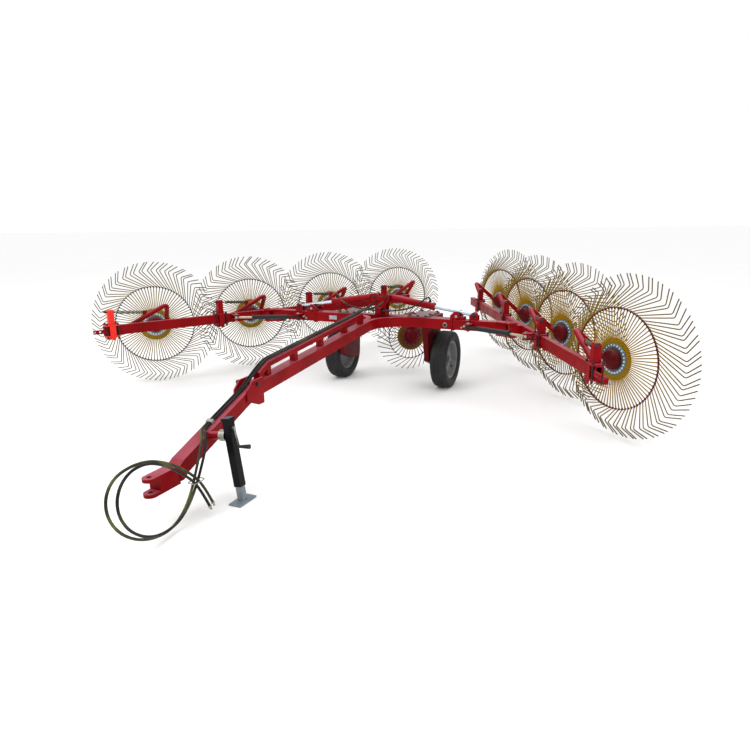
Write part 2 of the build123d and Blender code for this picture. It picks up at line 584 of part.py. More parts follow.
# ----------------------------------------------------------------------- jack
jl = radians(JACK_LEAN)
jx, jz = Vector(cos(jl), 0, sin(jl)), Vector(-sin(jl), 0, cos(jl))
JP = Plane(origin=JACK_S, x_dir=jx, z_dir=jz)
JAX = 117.6                                     # jack axis from the swivel centre
mount = JP * (Pos(-66, 0, 0) * Rot(0, 90, 0) * Cylinder(26, 142, align=(Align.CENTER, Align.CENTER, Align.MIN)))
mount += box(TUBE / 2, TUBE / 2 + 10, -3374, -3300, 395, 478)
mount -= box(-200, TUBE / 2, -3600, -3100, 200, 700)
parts["jack_mount"] = mount

JW = 28.0                                       # half width of the jack's outer tube
hs = JP * box(JAX - JW, JAX + JW, -JW, JW, -355, 108)
hs -= JP * box(JAX - JW + 5.5, JAX + JW - 5.5, -JW + 5.5, JW - 5.5, -400, 60)
sl = JP * (Pos(42, 0, 0) * Rot(0, 90, 0) * Cylinder(40, JAX - JW - 42, align=(Align.CENTER, Align.CENTER, Align.MIN)))
sl -= JP * (Pos(0, 0, 0) * Rot(0, 90, 0) * Cylinder(26.1, 80, align=(Align.CENTER, Align.CENTER, Align.MIN)))
hs += sl
hs += JP * box(JAX - 33, JAX + 33, -33, 33, 108, 121)
parts["jack_housing"] = hs
cr = JP * (Pos(JAX + JW, 0, 52) * Rot(0, 90, 0) * Cylinder(10, 18, align=(Align.CENTER, Align.CENTER, Align.MIN)))
c0 = JP.from_local_coords(Vector(JAX + JW + 12, 0, 52))
c1 = JP.from_local_coords(Vector(JAX + 74, -26, -70))
cr += cyl(c0, c1 - c0, 7, (c1 - c0).length)
cr += JP * (Pos(JAX + 68, -26, -70) * Rot(0, 90, 0) * Cone(9, 16, 90, align=(Align.CENTER, Align.CENTER, Align.MIN)))
parts["jack_crank"] = cr

foot_t = JP.from_local_coords(Vector(JAX, 0, 0))
tdown = (foot_t.Z - DATUM) / cos(jl)
fx = foot_t.X + tdown * sin(jl)
LW = JW - 5.7
lg = JP * box(JAX - LW, JAX + LW, -LW, LW, -tdown - 30, -150)
lg -= box(fx - 300, fx + 300, -3700, -3000, -200, DATUM + 5)
lg += box(fx - 46, fx + 46, JACK_S[1] - 92, JACK_S[1] + 92, DATUM, DATUM + 12)
parts["jack_leg"] = lg
print("jack foot x", fx)

# ---------------------------------------------------------------------- hoses
HR = 9.0                                   # hose radius
FWD = Vector(0, -cos(radians(20.3)), -sin(radians(20.3)))   # down the sloped tube
CLIP_Y, CLIP_L, CLIP_GAP = -3262.0, 30.0, 13.86


def deck(y):
    """Height of the sloped tube's top face."""
    return 362.0 + (y + 3600.0) * 0.37


def clip_face(x):
    return Vector(x, CLIP_Y, deck(CLIP_Y) + CLIP_GAP)


HOSE_X = (-22.0, 2.0)
held = None
for x in HOSE_X:
    h0 = clip_face(x) - FWD * CLIP_L
    h1 = h0 - FWD * 385
    top = lambda y: 662.0 + (BEAM_Z1 - 662.0) * (y + 2755.0) / 2055.0 + CH_GAP + CH_H
    xt = -45.0 if x < -10 else 45.0        # where it enters the tower's front plate
    h = tube_path([tuple(h0), tuple(h1), (x, -2580, top(-2580) + HR + 8), (x, -800, top(-800) + HR + 5),
                   (xt, -540, 948), (xt, -349, 985)], [300, 400, 260, 260], HR)
    held = h if held is None else held + h
parts["held_hoses"] = held


def barrel_hose():
    """Hose from the guide on the tower to the port by the rod end of a lift barrel."""
    d = (Vector(*EYE) - Vector(*TOWER_PIN)).normalized()
    q = Vector(*TOWER_PIN) + d * 486 + Vector(0, 0, 37.3)
    f = q + Vector(0, 0, 24)
    pts = [f, f + Vector(-4, -18, 30), f + Vector(-26, -60, 22), Vector(430, -384, 962),
           Vector(310, -392, 916), Vector(130, -390, GUIDE_Z + 2), Vector(8, -375, GUIDE_Z)]
    radii = []
    for a, b, c in zip(pts, pts[1:], pts[2:]):
        r0, r1 = b - a, c - b
        radii.append(0.45 * min(r0.length, r1.length) / tan(radians(r0.get_angle(r1)) / 2))
    path = FilletPolyline(*[tuple(v) for v in pts], radius=radii)
    t = sweep(Plane(origin=pts[0], z_dir=pts[1] - pts[0]) * Circle(8), path=path)
    t += cyl(q, (0, 0, 1), 12, 24)
    t -= cyl(Vector(*TOWER_PIN) + d * 60, d, 37.05, 480)
    return t


parts["barrel_hose_right"], parts["barrel_hose_left"] = both(barrel_hose)

cl = Plane(origin=clip_face(-10), x_dir=(1, 0, 0), z_dir=FWD * -1)
parts["hose_clip"] = cl * box(-26, 26, -CLIP_GAP * cos(radians(20.3)) + 0.05, 13, 0, CLIP_L)

# free hoses: points x, y and height above the ground that each route turns at
# after leaving the clip, down to the tie, round a loop past the hitch, and back
# through the tie
FREE_A = [
    (48, -3412, 470), (98, -3487, 400), (124, -3560, 327), (148, -3628, 254), (150, -3678, 165), (160, -3760, 81), 
    (168, -3883, 26), (180, -4038, 42), (190, -4187, 107), (197, -4309, 214), (199, -4372, 337), (197, -4367, 448), 
    (193, -4296, 525), (187, -4168, 544), (181, -4022, 522), (176, -3873, 451), (171, -3743, 359), (170, -3627, 254), 
    (190, -3573, 149), (224, -3564, 75)]
FREE_B = [
    (80, -3410, 490), (120, -3464, 402), (138, -3535, 313), (152, -3603, 228), (187, -3725, 138), (200, -3844, 67), 
    (214, -3998, 59), (222, -4137, 104), (227, -4256, 200), (229, -4319, 313), (227, -4324, 412), (222, -4277, 492), 
    (215, -4187, 535), (208, -4058, 527), (200, -3915, 455), (190, -3784, 352), (176, -3662, 245), (194, -3613, 143), 
    (232, -3605, 67)]
TAIL = 26.0                                # fitting on each hose end


def free_hose(name, x, pts):
    p0 = clip_face(x)
    route = [p0, p0 + FWD * 85] + [Vector(q[0], q[1], q[2] + DATUM) for q in pts]
    runs = [(route[i + 1] - route[i]) for i in range(len(route) - 1)]
    radii = []
    for r0, r1 in zip(runs, runs[1:]):
        half = radians(r0.get_angle(r1)) / 2
        radii.append(0.45 * min(r0.length, r1.length) / tan(half))
    path = FilletPolyline(*[tuple(p) for p in route], radius=radii)
    tube = sweep(Plane(origin=route[0], z_dir=runs[0]) * Circle(HR), path=path)
    want = pi * HR * HR * path.length
    print(name, "radii", [round(r) for r in radii], "length", round(path.length, 1), "volume/want", round(tube.volume / want, 5))
    end, d = route[-1], runs[-1].normalized()
    fit = cyl(end, d, 11.5, 10) + cyl(end + d * 10, d, 7, TAIL - 10)
    return tube, fit


parts["hose_a"], parts["hose_a_fitting"] = free_hose("hose_a", HOSE_X[0], FREE_A)
parts["hose_b"], parts["hose_b_fitting"] = free_hose("hose_b", HOSE_X[1], FREE_B)
with BuildSketch() as sk:
    RectangleRounded(61, 104, 14)
    RectangleRounded(55, 98, 11, mode=Mode.SUBTRACT)
parts["hose_tie"] = Pos(163.5, -3631, 247) * extrude(sk.sketch, 6)

# --------------------------------------------------------------------- output
os.makedirs("parts", exist_ok=True)
lo, hi = [1e9] * 3, [-1e9] * 3
for name, p in parts.items():
    q = Pos(0, Y_SHIFT, -DATUM) * p
    export_step(q, f"parts/{name}.step")
    if name.startswith("hose_") and name != "hose_clip":
        continue                           # the box that sets the frame leaves free hoses out
    bb = q.bounding_box()
    for i, (mn, mx) in enumerate(((bb.min.X, bb.max.X), (bb.min.Y, bb.max.Y), (bb.min.Z, bb.max.Z))):
        lo[i], hi[i] = min(lo[i], mn), max(hi[i], mx)
print("box", [round(v, 2) for v in lo], [round(v, 2) for v in hi], "nodes", len(parts))
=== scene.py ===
import bpy, bmesh, math
import numpy as np
from math import sin, cos, tan, pi, radians, degrees, atan2, hypot, sqrt
from mathutils import Vector, Matrix


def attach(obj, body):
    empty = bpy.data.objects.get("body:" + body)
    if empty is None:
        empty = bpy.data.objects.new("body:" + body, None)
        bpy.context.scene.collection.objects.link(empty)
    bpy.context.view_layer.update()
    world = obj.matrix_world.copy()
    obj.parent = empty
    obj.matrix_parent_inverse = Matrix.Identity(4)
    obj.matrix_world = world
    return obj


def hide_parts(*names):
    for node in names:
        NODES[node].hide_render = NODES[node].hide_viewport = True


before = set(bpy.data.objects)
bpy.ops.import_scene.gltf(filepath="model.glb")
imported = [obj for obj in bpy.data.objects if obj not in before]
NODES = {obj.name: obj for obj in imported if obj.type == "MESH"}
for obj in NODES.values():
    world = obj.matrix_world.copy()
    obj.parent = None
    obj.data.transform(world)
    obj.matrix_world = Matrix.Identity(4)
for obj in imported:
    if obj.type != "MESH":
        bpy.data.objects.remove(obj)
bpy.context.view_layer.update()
YS, DATUM = 0.665515, 12.0           # travel frame to row frame, along Y, and the ground's height in mm


def P(x, y, z):
    """A point in the travel frame, in millimetres, as a row frame point in metres."""
    return Vector((x / 1000.0, y / 1000.0 + YS, (z - DATUM) / 1000.0))


# ------------------------------------------------------------------ camera
YAW, PITCH_C, ROLL = 0.42446, 0.24554, -0.0099849
fwd = Vector((-sin(YAW) * cos(PITCH_C), cos(YAW) * cos(PITCH_C), -sin(PITCH_C)))
rgt = Vector((cos(YAW), sin(YAW), 0))
upv = rgt.cross(fwd)
r2 = rgt * cos(ROLL) + upv * sin(ROLL)
u2 = -rgt * sin(ROLL) + upv * cos(ROLL)
cam_d = bpy.data.cameras.new("camera")
cam_d.sensor_width = 36.0
cam_d.lens = 626.924 / 750.0 * 36.0
cam_d.clip_end = 100.0
cam = bpy.data.objects.new("camera", cam_d)
bpy.context.scene.collection.objects.link(cam)
m = Matrix((r2, u2, -fwd)).transposed().to_4x4()
m.translation = P(2726.58, -6532.62, 1857.86)
cam.matrix_world = m
bpy.context.scene.camera = cam

# --------------------------------------------------------------- materials


def nt(name):
    mt = bpy.data.materials.new(name)
    mt.use_nodes = True
    t = mt.node_tree
    b = t.nodes["Principled BSDF"]
    return mt, t, b


def noise(t, scale, detail=4.0, coord="Object", rough=0.55, stretch=None):
    tc = t.nodes.new("ShaderNodeTexCoord")
    n = t.nodes.new("ShaderNodeTexNoise")
    n.inputs["Scale"].default_value = scale
    n.inputs["Detail"].default_value = detail
    n.inputs["Roughness"].default_value = rough
    if stretch:
        mp = t.nodes.new("ShaderNodeMapping")
        mp.inputs["Scale"].default_value = stretch
        t.links.new(tc.outputs[coord], mp.inputs["Vector"])
        t.links.new(mp.outputs["Vector"], n.inputs["Vector"])
    else:
        t.links.new(tc.outputs[coord], n.inputs["Vector"])
    return n


def ramp(t, src, stops):
    r = t.nodes.new("ShaderNodeValToRGB")
    e = r.color_ramp.elements
    while len(e) < len(stops):
        e.new(0.5)
    for i, (p, c) in enumerate(stops):
        e[i].position = p
        e[i].color = (*c, 1.0) if len(c) == 3 else c
    t.links.new(src, r.inputs["Fac"])
    return r


def bump(t, b, src, strength, dist=0.001):
    bp = t.nodes.new("ShaderNodeBump")
    bp.inputs["Strength"].default_value = strength
    bp.inputs["Distance"].default_value = dist
    t.links.new(src, bp.inputs["Height"])
    t.links.new(bp.outputs["Normal"], b.inputs["Normal"])


def paint(name, dark, base, light, rough=0.3, coat=0.06, scale=3.0, bmp=0.15, top=None, spec=0.16):
    """Sprayed gloss enamel: slow colour drift, fine orange peel, and paler where it faces up, as painted sky light
    broken into uneven patches.
    """
    mt, t, b = nt(name)
    n = noise(t, scale, 5.0)
    r = ramp(t, n.outputs["Fac"], [(0.30, dark), (0.52, base), (0.78, light)])
    col = r.outputs["Color"]
    # top: a paler colour and its strength, mixed in on faces that point up and broken up by a noise; painted sky light
    # on the upper faces
    if top:
        tc = t.nodes.new("ShaderNodeTexCoord")
        sx = t.nodes.new("ShaderNodeSeparateXYZ")
        t.links.new(tc.outputs["Normal"], sx.inputs["Vector"])
        mr = t.nodes.new("ShaderNodeMapRange")
        mr.inputs["From Min"].default_value = 0.55
        mr.inputs["From Max"].default_value = 0.95
        mr.inputs["To Max"].default_value = top[1]
        t.links.new(sx.outputs["Z"], mr.inputs["Value"])
        dn = noise(t, 9.0, 5.0)
        ml = t.nodes.new("ShaderNodeMath")
        ml.operation = "MULTIPLY"
        t.links.new(mr.outputs["Result"], ml.inputs[0])
        dm = t.nodes.new("ShaderNodeMapRange")
        dm.inputs["From Min"].default_value = 0.3
        dm.inputs["From Max"].default_value = 0.65
        dm.inputs["To Min"].default_value = 0.65
        t.links.new(dn.outputs["Fac"], dm.inputs["Value"])
        t.links.new(dm.outputs["Result"], ml.inputs[1])
        mx = t.nodes.new("ShaderNodeMix")
        mx.data_type = "RGBA"
        t.links.new(ml.outputs["Value"], mx.inputs["Factor"])
        t.links.new(col, mx.inputs["A"])
        mx.inputs["B"].default_value = (*top[0], 1.0)
        # the colour sockets of a Mix node share the names A and B with the float ones
        for sk in mx.inputs:
            if sk.type == "RGBA" and sk.name == "A":
                t.links.new(col, sk)
            if sk.type == "RGBA" and sk.name == "B":
                sk.default_value = (*top[0], 1.0)
        col = [sk for sk in mx.outputs if sk.type == "RGBA"][0]
    t.links.new(col, b.inputs["Base Color"])
    rr = noise(t, scale * 2.3, 3.0)
    rm = t.nodes.new("ShaderNodeMapRange")
    rm.inputs["From Min"].default_value = 0.3
    rm.inputs["From Max"].default_value = 0.7
    rm.inputs["To Min"].default_value = rough * 0.8
    rm.inputs["To Max"].default_value = rough * 1.35
    t.links.new(rr.outputs["Fac"], rm.inputs["Value"])
    t.links.new(rm.outputs["Result"], b.inputs["Roughness"])
    b.inputs["Coat Weight"].default_value = coat
    b.inputs["Coat Roughness"].default_value = 0.12
    b.inputs["Specular IOR Level"].default_value = spec
    b.inputs["Metallic"].default_value = 0.0
    pe = noise(t, 220.0, 2.0)
    bump(t, b, pe.outputs["Fac"], bmp, 0.0006)
    return mt


def metal(name, base, light, rough=0.35, scale=30.0, metallic=1.0):
    mt, t, b = nt(name)
    n = noise(t, scale, 4.0)
    r = ramp(t, n.outputs["Fac"], [(0.3, base), (0.7, light)])
    t.links.new(r.outputs["Color"], b.inputs["Base Color"])
    rm = t.nodes.new("ShaderNodeMapRange")
    rm.inputs["To Min"].default_value = rough * 0.7
    rm.inputs["To Max"].default_value = rough * 1.4
    t.links.new(n.outputs["Fac"], rm.inputs["Value"])
    t.links.new(rm.outputs["Result"], b.inputs["Roughness"])
    b.inputs["Metallic"].default_value = metallic
    return mt


# pale pink mixed onto the up-facing faces of the red enamel: painted sky light on the tops
TOP_SKYLIGHT = ((0.34, 0.085, 0.115), 0.75)
RED = paint("red_enamel", (0.150, 0.0010, 0.0025), (0.205, 0.0015, 0.0035), (0.250, 0.0025, 0.0055), rough=0.34, coat=0.0, spec=0.07, top=TOP_SKYLIGHT)
# a lighter copy of the red enamel for faces the sun strikes: painted sunlight, not a second paint
SUNLIT_RED = paint("sunlit_red_painted_light", (0.62, 0.022, 0.012), (0.72, 0.032, 0.018), (0.80, 0.048, 0.028), rough=0.36, coat=0.0, spec=0.10, top=((0.55, 0.05, 0.06), 0.5))
# a darker copy of the red enamel for faces that lie in shade: painted shade, not a second paint
SHADED_RED = paint("red_enamel_painted_shade", (0.055, 0.0014, 0.0020), (0.080, 0.0022, 0.0032), (0.110, 0.0034, 0.0046), rough=0.38, coat=0.0, spec=0.07, top=((0.20, 0.05, 0.06), 0.6))
ROSE = paint("faded_red_enamel", (0.26, 0.020, 0.040), (0.31, 0.030, 0.055), (0.36, 0.045, 0.075), rough=0.38, top=TOP_SKYLIGHT)
BLACK = paint("black_enamel", (0.0035, 0.004, 0.0045), (0.006, 0.007, 0.008), (0.010, 0.012, 0.013), rough=0.36, coat=0.1, spec=0.25)
GOLD = paint("gold_enamel", (0.125, 0.062, 0.001), (0.175, 0.092, 0.002), (0.230, 0.128, 0.003), rough=0.42, coat=0.0, spec=0.05, scale=14.0)
GOLD_L = paint("gold_enamel_pale", (0.165, 0.090, 0.004), (0.230, 0.130, 0.006), (0.300, 0.178, 0.010), rough=0.42, coat=0.0, spec=0.05, scale=14.0)
TEAL = metal("passivated_zinc", (0.050, 0.17, 0.125), (0.105, 0.10, 0.21), 0.4, 60.0, 0.5)
TEAL_L = metal("passivated_zinc_grey", (0.17, 0.20, 0.18), (0.27, 0.27, 0.26), 0.4, 60.0, 0.5)
ZINC = metal("bright_zinc", (0.50, 0.51, 0.51), (0.68, 0.69, 0.69), 0.3, 80.0)
DZINC = metal("dull_zinc", (0.20, 0.20, 0.175), (0.38, 0.375, 0.33), 0.42, 80.0, 0.7)
YZINC = metal("yellow_zinc", (0.32, 0.28, 0.19), (0.48, 0.43, 0.32), 0.35, 60.0)
CHROME = metal("hard_chrome", (0.42, 0.49, 0.58), (0.55, 0.62, 0.70), 0.14, 8.0)
DARKBOLT = metal("dark_bolts", (0.012, 0.011, 0.012), (0.035, 0.032, 0.034), 0.45, 90.0, 0.6)
GREYPL = metal("grey_plate", (0.115, 0.040, 0.044), (0.170, 0.070, 0.076), 0.42, 20.0, 0.1)
BLANK = metal("blank_plate", (0.25, 0.25, 0.27), (0.34, 0.34, 0.36), 0.4, 30.0, 0.4)
SPRING = metal("spring_olive", (0.035, 0.036, 0.022), (0.10, 0.10, 0.060), 0.45, 50.0, 0.3)
JACKG = metal("jack_galvanised", (0.14, 0.17, 0.20), (0.22, 0.255, 0.29), 0.42, 24.0, 0.5)
# the bluish colour mixed onto the jack's up-facing faces is a painted highlight from the sky
JACKB = paint("jack_black", (0.0015, 0.0018, 0.0025), (0.0028, 0.0032, 0.0042), (0.005, 0.006, 0.008), rough=0.30, coat=0.0, spec=0.10, top=((0.035, 0.055, 0.10), 0.8))

# tyre rubber: dusty black, small cracks in bump
TYRE, t, b = nt("tyre_rubber")
n = noise(t, 9.0, 6.0)
r = ramp(t, n.outputs["Fac"], [(0.3, (0.0075, 0.008, 0.0085)), (0.6, (0.013, 0.0135, 0.013)), (0.85, (0.024, 0.024, 0.022))])
t.links.new(r.outputs["Color"], b.inputs["Base Color"])
b.inputs["Roughness"].default_value = 0.62
b.inputs["Specular IOR Level"].default_value = 0.25
n2 = noise(t, 160.0, 4.0)
bump(t, b, n2.outputs["Fac"], 0.25, 0.001)

RIMM = paint("rim_grey", (0.105, 0.107, 0.112), (0.145, 0.148, 0.153), (0.20, 0.203, 0.208), rough=0.42, coat=0.1, scale=10.0)

# hose rubber: olive and grey patches on a black cover, painted highlights of the shiny rubber


def hose_mat(name, stops):
    mt, t, b = nt(name)
    n = noise(t, 5.0, 3.0)
    r = ramp(t, n.outputs["Fac"], stops)
    t.links.new(r.outputs["Color"], b.inputs["Base Color"])
    b.inputs["Roughness"].default_value = 0.42
    b.inputs["Specular IOR Level"].default_value = 0.16
    n2 = noise(t, 420.0, 2.0)
    bump(t, b, n2.outputs["Fac"], 0.3, 0.0006)
    return mt


HOSE = hose_mat("hose_rubber", [(0.42, (0.006, 0.006, 0.006)), (0.56, (0.016, 0.016, 0.013)), (0.70, (0.060, 0.064, 0.022))])
# this strand's cover carries more of the olive painted highlight
HOSE_OLIVE_SHEEN = hose_mat("hose_rubber_olive_sheen", [(0.30, (0.007, 0.007, 0.006)), (0.48, (0.035, 0.038, 0.013)), (0.66, (0.100, 0.110, 0.028))])


def radial(t, z_too=False):
    """Distance from a wheel's own axis, from object coordinates."""
    tc = t.nodes.new("ShaderNodeTexCoord")
    sx = t.nodes.new("ShaderNodeSeparateXYZ")
    t.links.new(tc.outputs["Object"], sx.inputs["Vector"])
    cb = t.nodes.new("ShaderNodeCombineXYZ")
    t.links.new(sx.outputs["X"], cb.inputs["X"])
    t.links.new(sx.outputs["Y"], cb.inputs["Y"])
    ln = t.nodes.new("ShaderNodeVectorMath")
    ln.operation = "LENGTH"
    t.links.new(cb.outputs["Vector"], ln.inputs[0])
    return ln.outputs["Value"]


def tine_mat(name, tip_r, inner, mid, outer, tip):
    mt, t, b = nt(name)
    rad = radial(t)
    nz = noise(t, 16.0, 3.0)
    ad = t.nodes.new("ShaderNodeMath")
    ad.operation = "MULTIPLY_ADD"
    ad.inputs[1].default_value = 0.10
    t.links.new(nz.outputs["Fac"], ad.inputs[0])
    t.links.new(rad, ad.inputs[2])
    mr = t.nodes.new("ShaderNodeMapRange")
    mr.inputs["From Min"].default_value = 0.05
    mr.inputs["From Max"].default_value = tip_r + 0.05
    t.links.new(ad.outputs["Value"], mr.inputs["Value"])
    r = ramp(t, mr.outputs["Result"], [(0.10, inner), (0.40, mid), (0.78, outer), (0.99, tip)])
    t.links.new(r.outputs["Color"], b.inputs["Base Color"])
    b.inputs["Roughness"].default_value = 0.48
    b.inputs["Metallic"].default_value = 0.0
    b.inputs["Specular IOR Level"].default_value = 0.12
    return mt


TINE = tine_mat("tine_wire", 0.69, (0.330, 0.180, 0.002), (0.260, 0.150, 0.004), (0.150, 0.095, 0.006), (0.075, 0.052, 0.010))
TINE_L = tine_mat("tine_wire_pale", 0.69, (0.330, 0.200, 0.006), (0.220, 0.140, 0.010), (0.130, 0.088, 0.011), (0.075, 0.054, 0.014))
KTINE = tine_mat("kicker_wire", 0.43, (0.12, 0.06, 0.004), (0.070, 0.042, 0.008), (0.055, 0.036, 0.010), (0.040, 0.028, 0.012))
HOOP_L = metal("hoop_dark", (0.008, 0.006, 0.005), (0.020, 0.016, 0.012), 0.5, 30.0, 0.1)
HOOP_R = paint("hoop_red", (0.030, 0.003, 0.003), (0.085, 0.004, 0.006), (0.150, 0.006, 0.009), rough=0.4, coat=0.1, scale=5.0)


def set_mat(node, *mats):
    o = NODES[node]
    o.data.materials.clear()
    for mm in mats:
        o.data.materials.append(mm)


# ------------------------------------------------------------ mesh helpers


class Mesh:
    """Collects parts of one piece as arrays, each with a material number."""

    def __init__(self):
        self.v, self.f, self.m, self.s, self.n = [], [], [], [], 0

    def add(self, verts, faces, mat=0, smooth=True):
        verts = np.asarray(verts, float).reshape(-1, 3)
        self.v.append(verts)
        self.f += [tuple(i + self.n for i in f) for f in faces]
        self.m += [mat] * len(faces)
        self.s += [smooth] * len(faces)
        self.n += len(verts)

    def tube(self, pts, r, sides=6, mat=0, cap=True, radii=None):
        pts = [np.asarray(p, float) for p in pts]
        k = len(pts)
        tang = []
        for i in range(k):
            a = pts[max(i - 1, 0)]
            b_ = pts[min(i + 1, k - 1)]
            d = b_ - a
            tang.append(d / np.linalg.norm(d))
        ref = np.array([0.0, 0.0, 1.0])
        if abs(tang[0] @ ref) > 0.9:
            ref = np.array([1.0, 0.0, 0.0])
        nrm = np.cross(tang[0], ref)
        nrm /= np.linalg.norm(nrm)
        vs, fs = [], []
        for i in range(k):
            nrm = nrm - tang[i] * (nrm @ tang[i])
            nrm /= np.linalg.norm(nrm)
            bn = np.cross(tang[i], nrm)
            rr = radii[i] if radii is not None else r
            for j in range(sides):
                a = 2 * pi * j / sides
                vs.append(pts[i] + (nrm * cos(a) + bn * sin(a)) * rr)
        for i in range(k - 1):
            for j in range(sides):
                j2 = (j + 1) % sides
                fs.append((i * sides + j, i * sides + j2, (i + 1) * sides + j2, (i + 1) * sides + j))
        if cap:
            fs.append(tuple(range(sides - 1, -1, -1)))
            fs.append(tuple((k - 1) * sides + j for j in range(sides)))
        self.add(vs, fs, mat)

    def lathe(self, prof, seg, mat=0, o=(0, 0, 0), ax=(0, 0, 1), smooth=True, closed=True):
        """Closed profile of (radius, along) turned about an axis."""
        z = np.asarray(ax, float)
        z /= np.linalg.norm(z)
        ref = np.array([1.0, 0, 0]) if abs(z[0]) < 0.9 else np.array([0, 1.0, 0])
        x = np.cross(ref, z)
        x /= np.linalg.norm(x)
        y = np.cross(z, x)
        o = np.asarray(o, float)
        vs, fs, k = [], [], len(prof)
        for i in range(seg):
            a = 2 * pi * i / seg
            e = x * cos(a) + y * sin(a)
            for rr, h in prof:
                vs.append(o + e * rr + z * h)
        n_ = k if closed else k - 1
        for i in range(seg):
            i2 = (i + 1) % seg
            for j in range(n_):
                j2 = (j + 1) % k
                fs.append((i * k + j, i2 * k + j, i2 * k + j2, i * k + j2))
        self.add(vs, fs, mat, smooth)

    def rod(self, o, ax, r, h0, h1, seg=16, mat=0, chamfer=0.0):
        c = chamfer
        pr = [(0.0, h0), (r - c, h0), (r, h0 + c), (r, h1 - c), (r - c, h1), (0.0, h1)]
        self.lathe(pr, seg, mat, o, ax, smooth=seg > 8, closed=False)

    def hexbolt(self, o, ax, r, h, mat=0, washer=True):
        """Head of a bolt: washer, six-sided head with a chamfered top."""
        o = np.asarray(o, float)
        ax_ = np.asarray(ax, float)
        ax_ /= np.linalg.norm(ax_)
        if washer:
            self.lathe([(0.0, 0.0), (r * 1.35, 0.0), (r * 1.35, h * 0.18), (0.0, h * 0.18)], 16, mat, o, ax_, closed=False)
        self.lathe([(0.0, h * 0.18), (r, h * 0.18), (r, h * 0.88), (r * 0.86, h), (0.0, h)], 6, mat, o, ax_, smooth=False, closed=False)

    def boxp(self, o, x, y, z, mat=0, bevel=0.0):
        """Box from corner ranges in a frame: o origin, x/y/z = (axis, lo, hi)."""
        (ax, x0, x1), (ay, y0, y1), (az, z0, z1) = x, y, z
        ax, ay, az = (np.asarray(q, float) for q in (ax, ay, az))
        o = np.asarray(o, float)
        vs = [o + ax * a + ay * b_ + az * c for a in (x0, x1) for b_ in (y0, y1) for c in (z0, z1)]
        fs = [(0, 1, 3, 2), (4, 6, 7, 5), (0, 4, 5, 1), (2, 3, 7, 6), (0, 2, 6, 4), (1, 5, 7, 3)]
        self.add(vs, fs, mat, False)

    def build(self, name, mats, body, matrix=None, replaces=(), slot=None, mirror_x=False):
        me = bpy.data.meshes.new(name)
        v = np.concatenate(self.v)
        f = self.f
        if mirror_x:
            v = v * np.array([-1.0, 1, 1])
            f = [tuple(reversed(q)) for q in f]
        me.from_pydata([tuple(q) for q in v], [], f)
        for mm in mats:
            me.materials.append(mm)
        me.polygons.foreach_set("material_index", self.m)
        me.polygons.foreach_set("use_smooth", self.s)
        me.update()
        bm = bmesh.new()
        bm.from_mesh(me)
        bmesh.ops.recalc_face_normals(bm, faces=bm.faces)
        bm.to_mesh(me)
        bm.free()
        o = bpy.data.objects.new(name, me)
        bpy.context.scene.collection.objects.link(o)
        if matrix is not None:
            o.matrix_world = matrix
        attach(o, body)
        if replaces:
            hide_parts(*replaces)
        return o


def bevelled(o, w=0.002, seg=2, angle=40):
    md = o.modifiers.new("bevel", "BEVEL")
    md.width = w
    md.segments = seg
    md.limit_method = "ANGLE"
    md.angle_limit = radians(angle)
    md.harden_normals = False
    return o


# --------------------------------------------------------------------- cords
HOSE_D = 0.018
FWDV = Vector((0, -cos(radians(20.3)), -sin(radians(20.3))))


def deck(y):
    return 362.0 + (y + 3600.0) * 0.37


def clip_face(x):
    return P(x, -3262.0, deck(-3262.0) + 13.86)


FREE_A = [
    (48, -3412, 470), (98, -3487, 400), (124, -3560, 327), (148, -3628, 254), (150, -3678, 165), (160, -3760, 81),
    (168, -3883, 26), (180, -4038, 42), (190, -4187, 107), (197, -4309, 214), (199, -4372, 337), (197, -4367, 448),
    (193, -4296, 525), (187, -4168, 544), (181, -4022, 522), (176, -3873, 451), (171, -3743, 359), (170, -3627, 254),
    (190, -3573, 149), (224, -3564, 75)]
FREE_B = [
    (80, -3410, 490), (120, -3464, 402), (138, -3535, 313), (152, -3603, 228), (187, -3725, 138), (200, -3844, 67),
    (214, -3998, 59), (222, -4137, 104), (227, -4256, 200), (229, -4319, 313), (227, -4324, 412), (222, -4277, 492),
    (215, -4187, 535), (208, -4058, 527), (200, -3915, 455), (190, -3784, 352), (176, -3662, 245), (194, -3613, 143),
    (232, -3605, 67)]


def nurbs(name, pts, r, mat, res=10):
    cu = bpy.data.curves.new(name, "CURVE")
    cu.dimensions = "3D"
    sp = cu.splines.new("NURBS")
    sp.points.add(len(pts) - 1)
    for q, p in zip(sp.points, pts):
        q.co = (p[0], p[1], p[2], 1.0)
    sp.order_u = 3
    sp.use_endpoint_u = True
    cu.resolution_u = res
    cu.bevel_depth = r
    cu.bevel_resolution = 4
    cu.use_fill_caps = True
    cu.materials.append(mat)
    o = bpy.data.objects.new(name, cu)
    bpy.context.scene.collection.objects.link(o)
    return o


def spline_len(pts, n=4000):
    k = len(pts)
    A = np.array([tuple(p) for p in pts], float)
    kn = np.concatenate([[0, 0], np.arange(0, k - 1), [k - 2, k - 2]]).astype(float)
    out = []
    for tt in np.linspace(0, k - 2 - 1e-9, n):
        i = int(tt) + 2
        def w(a, lo, hi):
            return (a - lo) / (hi - lo) if hi > lo else 0.0
        q1 = A[i - 2] + (A[i - 1] - A[i - 2]) * w(tt, kn[i - 1], kn[i + 1])
        q2 = A[i - 1] + (A[i] - A[i - 1]) * w(tt, kn[i], kn[i + 2])
        out.append(q1 + (q2 - q1) * w(tt, kn[i], kn[i + 1]))
    out = np.array(out)
    return float(np.linalg.norm(np.diff(out, axis=0), axis=1).sum())


